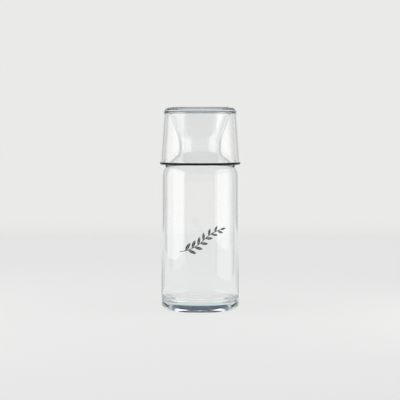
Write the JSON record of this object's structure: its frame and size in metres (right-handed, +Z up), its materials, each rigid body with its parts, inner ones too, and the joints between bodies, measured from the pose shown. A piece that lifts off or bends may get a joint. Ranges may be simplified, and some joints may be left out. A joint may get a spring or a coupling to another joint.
{
  "type": "carafe with tumbler",
  "caption": "Clear glass water carafe with a round shoulder and a flared mouth, capped by a tapered glass tumbler with a black rim that stands upside down over its neck and lifts off.",
  "frame": {"origin": "centre of the carafe's foot, on the surface that it stands on", "axes": "+Z up along the axis that both glasses are round about; the decorated front faces -Y"},
  "size_m": [0.0884, 0.0884, 0.2211],
  "materials": {
    "carafe_glass": "clear blown soda-lime glass, fire polished, faintly blue where it is thick",
    "tumbler_glass": "clear pressed soda-lime glass, fire polished",
    "black_enamel": "glossy black glass enamel, fired on"
  },
  "bodies": {
    "carafe": {"carafe": "carafe_glass"},
    "tumbler": {"tumbler": "tumbler_glass", "tumbler_rim_band": "black_enamel"}
  },
  "joints": [
    {"name": "tumbler_lift", "type": "slide", "parent": "carafe", "child": "tumbler", "axis": [0, 0, 1], "range_m": [0, 0.08]}
  ]
}
